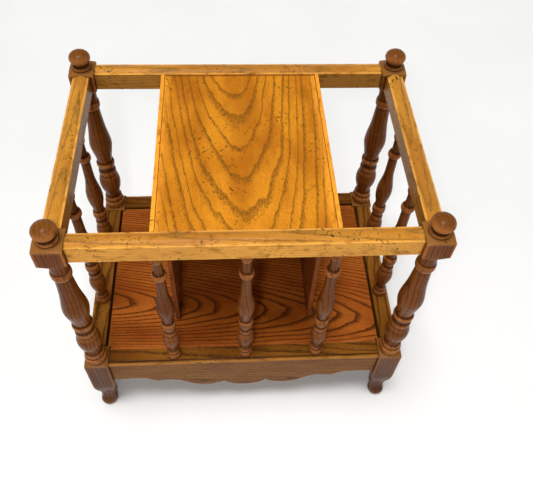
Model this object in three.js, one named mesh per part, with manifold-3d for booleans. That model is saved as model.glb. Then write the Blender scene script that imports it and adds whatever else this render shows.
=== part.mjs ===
// A small oak side table that is also a magazine rack: four turned corner posts with ball finials and pad
// feet, crowned top rails, beaded and scalloped bottom rails, turned spindles between them, a shelf, and two
// upright dividers under a central table top that leave a magazine pocket at each end.
// x runs along the width, y from front to back and z up, in millimetres. The origin is on the floor below
// the middle.

import * as THREE from "three";
import { mergeVertices } from "three/addons/utils/BufferGeometryUtils.js";
import Module from "manifold-3d";

const wasm = await Module();
wasm.setup();

// ---------------------------------------------------------------------------------------------------------
// Driving sizes
// ---------------------------------------------------------------------------------------------------------

const overallWidth = 470;
const overallDepth = 330;
const legHeight = 146; // floor to the top of the lower square block
const turnedLength = 259; // turned shaft between the two square blocks
const topBlockHeight = 28;
const postSize = 34; // side of the square stock
const blockDome = 3; // how far a block's top face falls away at its corners
const fitGap = 0.3; // clearance between two faces that touch

const topRailWidth = 22;
const topRailHeight = 26; // without the crown
const crownWidth = 16;
const crownRise = 3;

const bottomRailDrop = 1; // the rail's top edge is this far below the lower block's top
const bottomRailInside = 10.4; // from the post axis to the rail's inner face
const bottomRailOutside = 12.6; // from the post axis to the rail's outer face
const beadRadius = 2.8;
const beadProud = 2.6; // how far the bead stands out from the rail's outer face
const bottomRailDepth = 54; // the rail's top down to the straight stretches of its lower edge
const bracketDepth = 62; // and down to the small brackets against the legs
const bracketWidth = 11;

const shelfThickness = 10;
const shelfDrop = 3; // the shelf's top is this far below the bottom rails' top
const shelfSideGap = 3.8; // open joint at both sides of the shelf
const shelfBackGap = 3;
const battenSize = 12;

const tableHalfWidth = 104.1;
const tableThickness = 12;
const tableDrop = 2.5; // the panel's top is this far below the top rails' flat edge
const tongueSize = 5;
const edgeStripWidth = 5.1;
const edgeStripHeight = 20;

const dividerThickness = 6;
const dividerSetback = 49; // from the front and back top rails to a divider's edges
const dadoDepth = 3; // groove in the shelf that takes a divider's foot
const rebateDepth = 4; // step under the table panel's edge that takes a divider's top

const spindleSpacing = 105; // between the spindles of the front and of the back
const spigotRadius = 4;
const spigotLength = 12;
const dowelRadius = 4;
const dowelLength = 28;
const holeGap = 0.3; // radial clearance of a round joint
const endGap = 0.5; // clearance at the bottom of a blind hole

const screwLength = 24;
const screwRadius = 1.8;
const screwHeadRadius = 3.6;
const screwInset = 40; // from a batten's end to its screw

// ---------------------------------------------------------------------------------------------------------
// Sizes worked out from them
// ---------------------------------------------------------------------------------------------------------

const postHalf = postSize / 2;
const postX = overallWidth / 2 - postHalf;
const postY = overallDepth / 2 - postHalf;
const betweenPostsX = postX - postHalf; // half the clear width between the posts
const betweenPostsY = postY - postHalf;
const topBlockBottom = legHeight + turnedLength;
const topBlockTop = topBlockBottom + topBlockHeight;
const topRailTop = topBlockTop - crownRise;
const topRailBottom = topRailTop - topRailHeight;
const topRailInnerY = postY - topRailWidth / 2;
const bottomRailTop = legHeight - bottomRailDrop;
const shelfTop = bottomRailTop - shelfDrop;
const shelfBottom = shelfTop - shelfThickness;
const tableTop = topRailTop - tableDrop;
const tableBottom = tableTop - tableThickness;
const dividerOuter = tableHalfWidth;
const dividerInner = dividerOuter - dividerThickness;
const dividerHalfDepth = topRailInnerY - dividerSetback;

const postSides = 12; // facets round a post
const spindleSides = 8;
const rodSides = 8;

// ---------------------------------------------------------------------------------------------------------
// Materials
// ---------------------------------------------------------------------------------------------------------

const oak = (name, color, roughness = 0.42) =>
  new THREE.MeshStandardMaterial({ name, color, roughness, metalness: 0 });

const postOak = oak("post_oak", 0x8a5528);
const spindleOak = oak("spindle_oak", 0x8f5426);
const railOak = oak("rail_oak", 0xc98a38);
const bottomRailOak = oak("bottom_rail_oak", 0xb07a35);
const shelfOak = oak("shelf_oak", 0xa85f28);
const dividerOak = oak("divider_oak", 0x9c5a2a);
const tableOak = oak("table_oak", 0xd98c2c);
const plainWood = oak("plain_wood", 0xc8a878, 0.7);
const steel = new THREE.MeshStandardMaterial({
  name: "steel",
  color: 0x9a968c,
  roughness: 0.4,
  metalness: 1,
});

// ---------------------------------------------------------------------------------------------------------
// Solids
// ---------------------------------------------------------------------------------------------------------

const weldDistance = 1e-4;

/** A closed three.js geometry as a solid that can be joined and cut. */
function solid(geometry) {
  geometry.deleteAttribute("normal");
  geometry.deleteAttribute("uv");
  const merged = mergeVertices(geometry, weldDistance);
  const corners = merged.index.array;
  const kept = [];
  for (let i = 0; i < corners.length; i += 3) {
    const [a, b, c] = corners.slice(i, i + 3);
    if (a !== b && b !== c && c !== a) kept.push(a, b, c);
  }
  return new wasm.Manifold(
    new wasm.Mesh({
      numProp: 3,
      vertProperties: merged.attributes.position.array,
      triVerts: new Uint32Array(kept),
    }),
  );
}

/** A solid as a geometry that three.js can show. */
function geometryOf(body) {
  const mesh = body.getMesh();
  const geometry = new THREE.BufferGeometry();
  geometry.setAttribute("position", new THREE.BufferAttribute(mesh.vertProperties, 3));
  geometry.setIndex(new THREE.BufferAttribute(mesh.triVerts, 1));
  geometry.computeVertexNormals();
  return geometry;
}

/** A block between two corners. */
function block([x0, y0, z0], [x1, y1, z1]) {
  const box = new THREE.BoxGeometry(x1 - x0, y1 - y0, z1 - z0);
  return solid(box.translate((x0 + x1) / 2, (y0 + y1) / 2, (z0 + z1) / 2));
}

/** A round rod along the axis "x", "y" or "z", centred on a point. */
function rod(axis, radius, length, centre) {
  const cylinder = new THREE.CylinderGeometry(radius, radius, length, rodSides);
  if (axis === "x") cylinder.rotateZ(Math.PI / 2);
  if (axis === "z") cylinder.rotateX(Math.PI / 2);
  return solid(cylinder.translate(...centre));
}

/** A body turned about the z axis from [radius, height] points that start and end on the axis. */
function turned(points, sides) {
  const profile = points.map(([radius, height]) => new THREE.Vector2(radius, height));
  return solid(new THREE.LatheGeometry(profile, sides).rotateX(Math.PI / 2));
}

/** An outline drawn in y and z, swept along x. */
function sweptAlongX(outline, x0, x1, curveSegments = 4) {
  const swept = new THREE.ExtrudeGeometry(outline, { depth: x1 - x0, bevelEnabled: false, curveSegments });
  return solid(swept.rotateX(Math.PI / 2).rotateZ(Math.PI / 2).translate(x0, 0, 0));
}

/** An outline drawn in x and z, swept along y. */
function sweptAlongY(outline, y0, y1, curveSegments = 4) {
  const swept = new THREE.ExtrudeGeometry(outline, { depth: y1 - y0, bevelEnabled: false, curveSegments });
  return solid(swept.rotateX(Math.PI / 2).translate(0, y1, 0));
}

/** A straight-sided outline through [a, b] points. */
function polygon(points) {
  return new THREE.Shape(points.map(([a, b]) => new THREE.Vector2(a, b)));
}

/** A body turned by quarter turns about the z axis and then moved. */
function placed(body, quarterTurns, [x, y, z]) {
  return body.rotate([0, 0, 90 * quarterTurns]).translate([x, y, z]);
}

const rack = new THREE.Group();
rack.name = "magazine_rack";

/** Adds a finished solid to the rack as a named mesh. */
function add(name, body, material) {
  const mesh = new THREE.Mesh(geometryOf(body), material);
  mesh.name = name;
  rack.add(mesh);
}

// ---------------------------------------------------------------------------------------------------------
// Turnings
// ---------------------------------------------------------------------------------------------------------

// A turning is a stack of features from the bottom up. A ring bulges from its root radius to its crest and
// back as half an ellipse. A swell is a smooth curve through radii at shares of its length. The swell
// without a length takes up what the others leave.
const postTurning = [
  { length: 15, root: 13.8, crest: 16.1 },
  { length: 10, root: 12.4, crest: 14 },
  { length: 53, swell: [[0, 11.8], [0.1, 11.4], [0.26, 13.6], [0.43, 16], [0.6, 17], [0.78, 16.2], [1, 13]] },
  { length: 10, root: 12.8, crest: 14 },
  { length: 9, swell: [[0, 12.4], [0.5, 11.5], [1, 12.4]] },
  { length: 9, root: 12.4, crest: 14.4 },
  { swell: [[0, 11], [0.14, 13.6], [0.31, 17], [0.42, 16.6], [0.56, 14.4], [0.7, 12.5], [1, 10.4]] },
  { length: 14, root: 10.8, crest: 13 },
  { length: 23, swell: [[0, 11], [0.6, 11.3], [1, 13]] },
];
const pommel = [[14.6, 5], [18.6, 2.4], [22, 1]]; // radius, and depth below the upper block

const spindleTurning = [
  { length: 13, root: 8.6, crest: 10.3 },
  { length: 9, root: 7.4, crest: 8.8 },
  { length: 46, swell: [[0, 7.4], [0.12, 7.4], [0.35, 10.2], [0.6, 12], [0.82, 11.2], [1, 8.8]] },
  { length: 10, root: 8, crest: 9.4 },
  { length: 6, swell: [[0, 7.6], [1, 7.6]] },
  { length: 17, root: 8.2, crest: 10.4 },
  { swell: [[0, 7.3], [0.1, 8.8], [0.22, 11.2], [0.32, 12], [0.42, 11.2], [0.55, 8.8], [0.7, 7], [1, 6.6]] },
  { length: 11, root: 6.8, crest: 9.5 },
  { length: 23, swell: [[0, 6], [0.5, 5.6], [1, 5.8]] },
  { length: 12, root: 5.8, crest: 7.8 },
  { length: 5, swell: [[0, 6.3], [1, 6.3]] },
];

const ringSteps = 3;
const swellSteps = 5;

/** The [radius, height] points of a turning that starts at a height and has a given length in all. */
function turningPoints(turning, start, length) {
  const fixed = turning.reduce((sum, feature) => sum + (feature.length ?? 0), 0);
  const points = [];
  let height = start;
  for (const feature of turning) {
    const span = feature.length ?? length - fixed;
    if (feature.swell) {
      const places = feature.swell.map(([share, radius]) => new THREE.Vector2(radius, share));
      const curve = new THREE.SplineCurve(places);
      const steps = feature.swell.length > 3 ? swellSteps : feature.swell.length - 1;
      for (const { x, y } of curve.getPoints(steps)) points.push([x, height + y * span]);
    } else {
      for (let i = 0; i <= ringSteps; i++) {
        const angle = (Math.PI * i) / ringSteps;
        const radius = feature.root + (feature.crest - feature.root) * Math.sin(angle);
        points.push([radius, height + (span * (1 - Math.cos(angle))) / 2]);
      }
    }
    height += span;
  }
  return points.filter(([, z], i) => i === 0 || z - points[i - 1][1] > weldDistance);
}

// ---------------------------------------------------------------------------------------------------------
// Corner posts
// ---------------------------------------------------------------------------------------------------------

const finialRingRadius = 12.3;
const finialRingHeight = 5.2;
const finialNeckRadius = 8.8;
const finialBallRadius = 14.4;
const finialBallHalfHeight = 9.8; // the ball is flattened
const finialBallCentre = 16.6; // above the upper block
const postTop = topBlockTop + finialBallCentre + finialBallHalfHeight;

const padRadius = 13;
const padFlatRadius = 10.8;
const padHeight = 14;
const padOffset = -3.9; // the pad's centre from the post axis, towards the outside, along x and along y
const kneeTop = bottomRailTop - bracketDepth; // the leg is straight stock above this

/** The ball finial's [radius, height] points, from the ring on the block to the top of the ball. */
function finialPoints() {
  const points = [];
  for (let i = 0; i <= ringSteps; i++) {
    const angle = (Math.PI * i) / ringSteps;
    const radius = finialRingRadius - 2 + 2 * Math.sin(angle);
    points.push([radius, topBlockTop + (finialRingHeight * (1 - Math.cos(angle))) / 2]);
  }
  const neckAngle = Math.asin(finialNeckRadius / finialBallRadius);
  const ballSteps = 7;
  for (let i = 0; i <= ballSteps; i++) {
    const angle = neckAngle + ((Math.PI - neckAngle) * i) / ballSteps;
    const height = finialBallCentre - finialBallHalfHeight * Math.cos(angle);
    points.push([i === ballSteps ? 0 : finialBallRadius * Math.sin(angle), topBlockTop + height]);
  }
  return points;
}

/**
 * A post's outline in one direction, its outer face on the negative side: straight stock above, and below it
 * a knee that curves out of the outer face and an ankle that stands over the pad foot. Places across are
 * shares of the stock from its outer face, and heights are shares of the knee's top.
 */
function postOutline() {
  const outline = new THREE.Shape();
  const at = (across, up) => [across * postSize - postHalf, up * kneeTop];
  const top = (postTop + 1) / kneeTop;
  outline.moveTo(...at(0, top));
  outline.lineTo(...at(0, 0.91));
  outline.bezierCurveTo(...at(0, 0.78), ...at(0.05, 0.68), ...at(0.11, 0.58));
  outline.bezierCurveTo(...at(0.16, 0.5), ...at(0.16, 0.36), ...at(0.11, 0.23));
  outline.lineTo(...at(0.08, 0.12));
  outline.lineTo(...at(0.74, 0.12));
  outline.lineTo(...at(0.77, 0.26));
  outline.bezierCurveTo(...at(0.78, 0.4), ...at(0.79, 0.52), ...at(0.82, 0.66));
  outline.bezierCurveTo(...at(0.86, 0.8), ...at(1, 0.86), ...at(1, 1));
  outline.lineTo(...at(1, top));
  outline.closePath();
  return outline;
}

/** The post blank on its own axis, with its outer faces towards -x and -y. */
function postBlank() {
  const beyondCorners = postHalf * 1.5; // leaves the square stock uncut
  const shoulder = postHalf * 1.2; // half-way down the dome of a block's top
  const outline = postOutline();
  const frontView = sweptAlongY(outline, -postHalf, postHalf);
  const sideView = sweptAlongX(outline, -postHalf, postHalf);
  const lathe = turned(
    [
      [0, -1],
      [beyondCorners, -1],
      [beyondCorners, legHeight - blockDome],
      [shoulder, legHeight - blockDome / 2],
      ...turningPoints(postTurning, legHeight, turnedLength - pommel[0][1]),
      ...pommel.slice(1).map(([radius, depth]) => [radius, topBlockBottom - depth]),
      [beyondCorners, topBlockBottom],
      [beyondCorners, topBlockTop - blockDome],
      [shoulder, topBlockTop - blockDome / 2],
      ...finialPoints(),
    ],
    postSides,
  );
  const pad = turned(
    [
      [0, 0],
      [padFlatRadius, 0],
      [padRadius - 0.6, padHeight * 0.25],
      [padRadius, padHeight * 0.55],
      [padRadius - 1.2, padHeight * 0.82],
      [padRadius - 4.5, padHeight],
      [0, padHeight],
    ],
    postSides,
  ).translate([padOffset, padOffset, 0]);
  return frontView.intersect(sideView).intersect(lathe).add(pad);
}

// ---------------------------------------------------------------------------------------------------------
// Rails
// ---------------------------------------------------------------------------------------------------------

/** Section of a top rail across its width: flat edges and a low segmental crown. */
function topRailSection(centre) {
  const half = topRailWidth / 2;
  const crownHalf = crownWidth / 2;
  const crownRadius = (crownHalf ** 2 + crownRise ** 2) / (2 * crownRise);
  const crownAngle = Math.asin(crownHalf / crownRadius);
  const section = new THREE.Shape();
  section.moveTo(centre - half, topRailBottom);
  section.lineTo(centre + half, topRailBottom);
  section.lineTo(centre + half, topRailTop);
  section.lineTo(centre + crownHalf, topRailTop);
  const middle = topRailTop + crownRise - crownRadius;
  section.absarc(centre, middle, crownRadius, Math.PI / 2 - crownAngle, Math.PI / 2 + crownAngle, false);
  section.lineTo(centre - half, topRailTop);
  section.closePath();
  return section;
}

/** Section of a bottom rail across its width, its outer face towards the negative side of the post axis. */
function bottomRailSection() {
  const face = -bottomRailOutside;
  const beadCentre = face - beadProud + beadRadius;
  const beadMiddle = bottomRailTop - beadRadius;
  const quirkDepth = 1;
  const section = new THREE.Shape();
  section.moveTo(bottomRailInside, 0);
  section.lineTo(bottomRailInside, bottomRailTop);
  section.lineTo(beadCentre + beadRadius + 0.8, bottomRailTop);
  section.lineTo(beadCentre + beadRadius - 0.2, bottomRailTop - 1.4);
  section.absarc(beadCentre, beadMiddle, beadRadius, Math.PI / 6, Math.PI * 1.4, false);
  section.lineTo(face + quirkDepth, beadMiddle - beadRadius - 0.2);
  section.lineTo(face, beadMiddle - beadRadius - quirkDepth);
  section.lineTo(face, 0);
  section.closePath();
  return section;
}

// Half of a scalloped lower edge, from the leg's end to the middle. A place is a share of the half length and
// a depth below the rail's top, and each stretch names its control places and its end.
const frontScallops = [
  [[0.786, bottomRailDepth]],
  [[0.73, bottomRailDepth], [0.71, 64], [0.662, 65.5]],
  [[0.59, 59.5], [0.512, 64.5]],
  [[0.455, 71], [0.41, 84.5], [0.305, 84.5]],
  [[0.235, 84.5], [0.2, 79], [0.16, 73.5]],
  [[0.115, 86], [0.05, 88], [0, 88]],
];
const sideScallops = [
  [[0.74, bottomRailDepth]],
  [[0.67, bottomRailDepth], [0.63, 64], [0.57, 65.5]],
  [[0.47, 59.5], [0.38, 64.5]],
  [[0.28, 71], [0.17, 81], [0, 81]],
];

/** A bottom rail's outline seen from outside, from its lower edge up past its section. */
function railOutline(half, scallops) {
  const outline = new THREE.Shape();
  const draw = (side, places) => {
    const flat = places.flatMap(([share, depth]) => [side * share * half, bottomRailTop - depth]);
    if (places.length === 1) outline.lineTo(...flat);
    if (places.length === 2) outline.quadraticCurveTo(...flat);
    if (places.length === 3) outline.bezierCurveTo(...flat);
  };
  const bracketEnd = 1 - bracketWidth / half;
  const bracket = [[1, bottomRailDepth], [bracketEnd, bottomRailDepth]];
  const stretches = [[[1, bracketDepth]], bracket, ...scallops];
  outline.moveTo(-half, bottomRailTop + 1);
  for (const stretch of stretches) draw(-1, stretch);
  // The right half is the left half run backwards: each stretch ends where it began on the left.
  for (let i = stretches.length - 1; i > 0; i--) {
    const begin = stretches[i - 1].at(-1);
    draw(1, [...stretches[i].slice(0, -1).reverse(), begin]);
  }
  outline.lineTo(half, bottomRailTop + 1);
  outline.closePath();
  return outline;
}

/** A bottom rail on the x axis with its outer face towards -y. */
function bottomRail(half, scallops) {
  const section = sweptAlongX(bottomRailSection(), -half, half);
  const outline = railOutline(half, scallops);
  return section.intersect(sweptAlongY(outline, -bottomRailOutside - beadProud, bottomRailInside));
}

/** Joins holes into one body to cut with. */
function together(bodies) {
  return bodies.reduce((all, body) => all.add(body));
}

// ---------------------------------------------------------------------------------------------------------
// Joints: where the dowels and the spindles sit
// ---------------------------------------------------------------------------------------------------------

const topDowelHeightX = topRailBottom + 8; // in the front and back rails
const topDowelHeightY = topRailBottom + 18; // in the side rails, clear of the others inside the post
const bottomDowelHeightsX = [bottomRailTop - 43, bottomRailTop - 17];
const bottomDowelHeightsY = [bottomRailTop - 30, bottomRailTop - 7];

/** Dowels along x: end of the front or back rail, at one post. */
const dowelsAlongX = [];
/** Dowels along y: end of a side rail, at one post. */
const dowelsAlongY = [];
for (const [frontName, sideY] of [["front", -1], ["back", 1]]) {
  for (const [sideName, sideX] of [["left", -1], ["right", 1]]) {
    const corner = `${frontName}_${sideName}`;
    const centreX = sideX * (betweenPostsX - fitGap / 2);
    const centreY = sideY * (betweenPostsY - fitGap / 2);
    dowelsAlongX.push({ name: `dowel_top_${corner}_x`, centre: [centreX, sideY * postY, topDowelHeightX] });
    dowelsAlongY.push({ name: `dowel_top_${corner}_y`, centre: [sideX * postX, centreY, topDowelHeightY] });
    bottomDowelHeightsX.forEach((height, i) => {
      const name = `dowel_bottom_${corner}_x${i + 1}`;
      dowelsAlongX.push({ name, centre: [centreX, sideY * postY, height] });
    });
    bottomDowelHeightsY.forEach((height, i) => {
      const name = `dowel_bottom_${corner}_y${i + 1}`;
      dowelsAlongY.push({ name, centre: [sideX * postX, centreY, height] });
    });
  }
}
const dowelHole = [dowelRadius + holeGap, dowelLength + 2 * endGap];
const dowelHoles = together([
  ...dowelsAlongX.map(({ centre }) => rod("x", ...dowelHole, centre)),
  ...dowelsAlongY.map(({ centre }) => rod("y", ...dowelHole, centre)),
]);

const spindlePlaces = [];
for (const [name, side] of [["front", -1], ["back", 1]]) {
  for (const step of [-1, 0, 1]) {
    spindlePlaces.push({ name: `spindle_${name}_${step + 2}`, x: step * spindleSpacing, y: side * postY });
  }
}
for (const [name, side] of [["left", -1], ["right", 1]]) {
  for (const step of [-1, 1]) {
    spindlePlaces.push({ name: `spindle_${name}_${(step + 3) / 2}`, x: side * postX, y: (step * postY) / 3 });
  }
}
const spigotHoleLength = 2 * (spigotLength + endGap);
const spigotHoles = together(
  spindlePlaces.flatMap(({ x, y }) => [
    rod("z", spigotRadius + holeGap, spigotHoleLength, [x, y, bottomRailTop]),
    rod("z", spigotRadius + holeGap, spigotHoleLength, [x, y, topRailBottom]),
  ]),
);

// ---------------------------------------------------------------------------------------------------------
// Posts, rails, dowels and spindles
// ---------------------------------------------------------------------------------------------------------

const blank = postBlank();
const postPlaces = [
  { name: "post_front_left", sides: [-1, -1], quarterTurns: 0 },
  { name: "post_front_right", sides: [1, -1], quarterTurns: 1 },
  { name: "post_back_right", sides: [1, 1], quarterTurns: 2 },
  { name: "post_back_left", sides: [-1, 1], quarterTurns: 3 },
];
for (const { name, sides, quarterTurns } of postPlaces) {
  const post = placed(blank, quarterTurns, [sides[0] * postX, sides[1] * postY, 0]);
  add(name, post.subtract(dowelHoles), postOak);
}

const railHalfX = betweenPostsX - fitGap;
const railHalfY = betweenPostsY - fitGap;
const grooveDepth = tongueSize + endGap;
const tongueMiddle = tableBottom + tableThickness / 2;
const tongueHalf = tongueSize / 2 + fitGap;
const grooves = together(
  [-1, 1].map((side) => {
    const wall = side * topRailInnerY;
    const y0 = Math.min(wall, wall + side * grooveDepth);
    const grooveHalf = tableHalfWidth + fitGap;
    return block(
      [-grooveHalf, y0, tongueMiddle - tongueHalf],
      [grooveHalf, y0 + grooveDepth, tongueMiddle + tongueHalf],
    );
  }),
);
const railCuts = dowelHoles.add(spigotHoles).add(grooves);

for (const [name, side] of [["front", -1], ["back", 1]]) {
  const rail = sweptAlongX(topRailSection(side * postY), -railHalfX, railHalfX);
  add(`top_rail_${name}`, rail.subtract(railCuts), railOak);
}
for (const [name, side] of [["left", -1], ["right", 1]]) {
  const rail = sweptAlongY(topRailSection(side * postX), -railHalfY, railHalfY);
  add(`top_rail_${name}`, rail.subtract(railCuts), railOak);
}

const screwPlaces = [];
for (const [sideName, side] of [["left", -1], ["right", 1]]) {
  for (const [endName, end] of [["front", -1], ["back", 1]]) {
    const y = end * (betweenPostsY - screwInset);
    screwPlaces.push({ name: `batten_screw_${sideName}_${endName}`, side, y });
  }
}
const battenOuter = postX - bottomRailInside - fitGap;
const battenInner = battenOuter - battenSize;
const battenTop = shelfBottom - fitGap;
const screwHeight = battenTop - battenSize / 2;

/** A countersunk screw that enters a batten's inner face and ends inside the side rail. */
function battenScrew(side, y, gap) {
  const head = screwHeadRadius + gap;
  const shank = screwRadius + gap;
  const headHeight = screwHeadRadius - screwRadius;
  const points = [[0, 0], [head, 0], [shank, headHeight], [shank, screwLength + gap], [0, screwLength + gap]];
  const screw = turned(points, rodSides).rotate([0, side * 90, 0]);
  const faceGap = 0.5; // the head lies this far below the batten's face
  const start = battenInner + (gap > 0 ? 0 : faceGap);
  return screw.translate([side * start, y, screwHeight]);
}
const screwHoles = together(screwPlaces.map(({ side, y }) => battenScrew(side, y, holeGap + 0.2)));

const frontRail = bottomRail(railHalfX, frontScallops);
const backRail = bottomRail(railHalfX, []);
const sideRail = bottomRail(railHalfY, sideScallops);
const bottomRails = [
  { name: "bottom_rail_front", rail: frontRail, quarterTurns: 0, at: [0, -postY, 0] },
  { name: "bottom_rail_right", rail: sideRail, quarterTurns: 1, at: [postX, 0, 0] },
  { name: "bottom_rail_back", rail: backRail, quarterTurns: 2, at: [0, postY, 0] },
  { name: "bottom_rail_left", rail: sideRail, quarterTurns: 3, at: [-postX, 0, 0] },
];
for (const { name, rail, quarterTurns, at } of bottomRails) {
  add(name, placed(rail, quarterTurns, at).subtract(railCuts).subtract(screwHoles), bottomRailOak);
}

for (const { name, centre } of dowelsAlongX) add(name, rod("x", dowelRadius, dowelLength, centre), plainWood);
for (const { name, centre } of dowelsAlongY) add(name, rod("y", dowelRadius, dowelLength, centre), plainWood);

const spindleBottom = bottomRailTop + fitGap;
const spindleTop = topRailBottom - fitGap;
const spindle = turned(
  [
    [0, spindleBottom - spigotLength],
    [spigotRadius, spindleBottom - spigotLength],
    [spigotRadius, spindleBottom],
    ...turningPoints(spindleTurning, spindleBottom, spindleTop - spindleBottom),
    [spigotRadius, spindleTop],
    [spigotRadius, spindleTop + spigotLength],
    [0, spindleTop + spigotLength],
  ],
  spindleSides,
);
for (const { name, x, y } of spindlePlaces) add(name, spindle.translate([x, y, 0]), spindleOak);

// ---------------------------------------------------------------------------------------------------------
// Shelf, battens and dividers
// ---------------------------------------------------------------------------------------------------------

const shelfHalf = postX - bottomRailInside - shelfSideGap;
const shelfFront = -(postY - bottomRailInside - fitGap);
const shelfBack = postY - bottomRailInside - shelfBackGap;
const notchX = betweenPostsX - 1;
const notchY = betweenPostsY - 1;
const shelfOutline = [
  [-notchX, shelfFront],
  [notchX, shelfFront],
  [notchX, -notchY],
  [shelfHalf, -notchY],
  [shelfHalf, notchY],
  [notchX, notchY],
  [notchX, shelfBack],
  [-notchX, shelfBack],
  [-notchX, notchY],
  [-shelfHalf, notchY],
  [-shelfHalf, -notchY],
  [-notchX, -notchY],
];
const dados = together(
  [-1, 1].map((side) => {
    const middle = (side * (dividerInner + dividerOuter)) / 2;
    const half = dividerThickness / 2 + fitGap;
    const depthHalf = dividerHalfDepth + fitGap;
    const bottom = shelfTop - dadoDepth;
    return block([middle - half, -depthHalf, bottom], [middle + half, depthHalf, shelfTop + 1]);
  }),
);
const shelfBoard = solid(
  new THREE.ExtrudeGeometry(polygon(shelfOutline), { depth: shelfThickness, bevelEnabled: false }),
).translate([0, 0, shelfBottom]);
add("shelf", shelfBoard.subtract(dados), shelfOak);

for (const [name, side] of [["left", -1], ["right", 1]]) {
  const x0 = Math.min(side * battenInner, side * battenOuter);
  const batten = block(
    [x0, -notchY, battenTop - battenSize],
    [x0 + battenSize, notchY, battenTop],
  );
  add(`batten_${name}`, batten.subtract(screwHoles), plainWood);

  const inner = Math.min(side * dividerInner, side * dividerOuter);
  const divider = block(
    [inner, -dividerHalfDepth, shelfTop - dadoDepth + fitGap],
    [inner + dividerThickness, dividerHalfDepth, tableBottom + rebateDepth],
  );
  add(`divider_${name}`, divider, dividerOak);
}
for (const { name, side, y } of screwPlaces) add(name, battenScrew(side, y, 0), steel);

// ---------------------------------------------------------------------------------------------------------
// Table top
// ---------------------------------------------------------------------------------------------------------

const panelHalfDepth = topRailInnerY - fitGap;
const tongueReach = panelHalfDepth + tongueSize;
const panel = block(
  [-tableHalfWidth, -panelHalfDepth, tableBottom],
  [tableHalfWidth, panelHalfDepth, tableTop],
);
const tongues = block(
  [-tableHalfWidth, -tongueReach, tongueMiddle - tongueSize / 2],
  [tableHalfWidth, tongueReach, tongueMiddle + tongueSize / 2],
);
const rebates = together(
  [-1, 1].map((side) => {
    const x0 = Math.min(side * (dividerInner - fitGap), side * (tableHalfWidth + 1));
    const width = dividerThickness + fitGap + 1;
    const top = tableBottom + rebateDepth + fitGap;
    return block([x0, -tongueReach - 1, tableBottom - 1], [x0 + width, tongueReach + 1, top]);
  }),
);
add("table_top", panel.add(tongues).subtract(rebates), tableOak);

for (const [name, side] of [["left", -1], ["right", 1]]) {
  const near = side * (tableHalfWidth + fitGap);
  const x0 = Math.min(near, near + side * edgeStripWidth);
  const strip = block(
    [x0, -panelHalfDepth, topRailTop - edgeStripHeight],
    [x0 + edgeStripWidth, panelHalfDepth, topRailTop],
  );
  add(`edge_strip_${name}`, strip, tableOak);
}

export default rack;
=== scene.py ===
"""Visible oak pieces of a magazine rack table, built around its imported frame."""

import math

import bpy
import numpy as np
from bpy.props import FloatProperty, FloatVectorProperty, PointerProperty
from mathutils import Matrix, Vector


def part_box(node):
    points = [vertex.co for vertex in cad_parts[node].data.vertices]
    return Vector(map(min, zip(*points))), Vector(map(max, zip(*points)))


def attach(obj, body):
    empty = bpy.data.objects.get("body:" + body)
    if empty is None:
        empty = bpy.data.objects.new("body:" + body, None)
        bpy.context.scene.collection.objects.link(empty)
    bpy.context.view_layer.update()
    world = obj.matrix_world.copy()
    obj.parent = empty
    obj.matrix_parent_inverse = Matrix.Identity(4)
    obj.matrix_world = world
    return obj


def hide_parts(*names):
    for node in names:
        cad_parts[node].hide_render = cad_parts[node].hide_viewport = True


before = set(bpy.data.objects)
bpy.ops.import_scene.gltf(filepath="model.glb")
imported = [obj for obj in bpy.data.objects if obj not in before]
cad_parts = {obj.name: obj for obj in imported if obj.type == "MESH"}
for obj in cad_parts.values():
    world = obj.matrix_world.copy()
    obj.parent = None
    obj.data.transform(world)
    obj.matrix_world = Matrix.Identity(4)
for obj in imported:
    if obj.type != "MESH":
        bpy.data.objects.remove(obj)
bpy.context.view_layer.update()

bl_info = {
    "name": "Oak Magazine Rack",
    "version": (1, 0, 0),
    "blender": (4, 5, 0),
    "location": "View3D > Sidebar > Rack",
    "description": "Makes the visible oak pieces of a magazine rack table around its packed frame",
    "category": "Object",
}

MM = 0.001


def node_box(name):
    """Lowest and highest corner of a frame node, in millimetres."""
    low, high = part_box(name)
    return np.array(low) / MM, np.array(high) / MM


# --- Sizes, in millimetres. Places come from the frame, and the rest are the joiner's own sizes ---

POST_LOW, POST_HIGH = node_box("post_front_right")
TOP_RAIL_LOW, TOP_RAIL_HIGH = node_box("top_rail_front")
BOTTOM_RAIL_LOW, BOTTOM_RAIL_HIGH = node_box("bottom_rail_front")

POST_SIZE = POST_HIGH[0] - POST_LOW[0]
POST_X = (POST_HIGH[0] + POST_LOW[0]) / 2
POST_Y = -(POST_HIGH[1] + POST_LOW[1]) / 2
POST_TOP = POST_HIGH[2]
TOP_BLOCK_TOP = TOP_RAIL_HIGH[2]
TOP_BLOCK_HEIGHT = 28
TOP_BLOCK_BOTTOM = TOP_BLOCK_TOP - TOP_BLOCK_HEIGHT
BOTTOM_RAIL_TOP = BOTTOM_RAIL_HIGH[2]
BOTTOM_RAIL_DROP = 1
LEG_HEIGHT = BOTTOM_RAIL_TOP + BOTTOM_RAIL_DROP
BLOCK_DOME = 3
FIT_GAP = 0.3

KNEE_TOP = BOTTOM_RAIL_TOP - 62
PAD_TOP = 14
PAD_OFFSET = -3.9  # inwards from the post's centre to the pad foot's, so the foot stands outwards
RING_ROOT_RADIUS = 10.3
RING_PROUD = 2
RING_HALF_HEIGHT = 2.6
BALL_RADIUS = 14.4
BALL_HALF_HEIGHT = 9.8
BALL_NECK_RADIUS = 8.8

CROWN_WIDTH = 16
CROWN_RISE = 3
TOP_RAIL_EDGE = TOP_BLOCK_TOP - CROWN_RISE

RAIL_INSIDE = 10.4
RAIL_OUTSIDE = 12.6
RAIL_DEPTH = 54
BRACKET_DEPTH = 62
BRACKET_WIDTH = 11
BEAD_RADIUS = 2.8
BEAD_PROUD = 2.6

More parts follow.
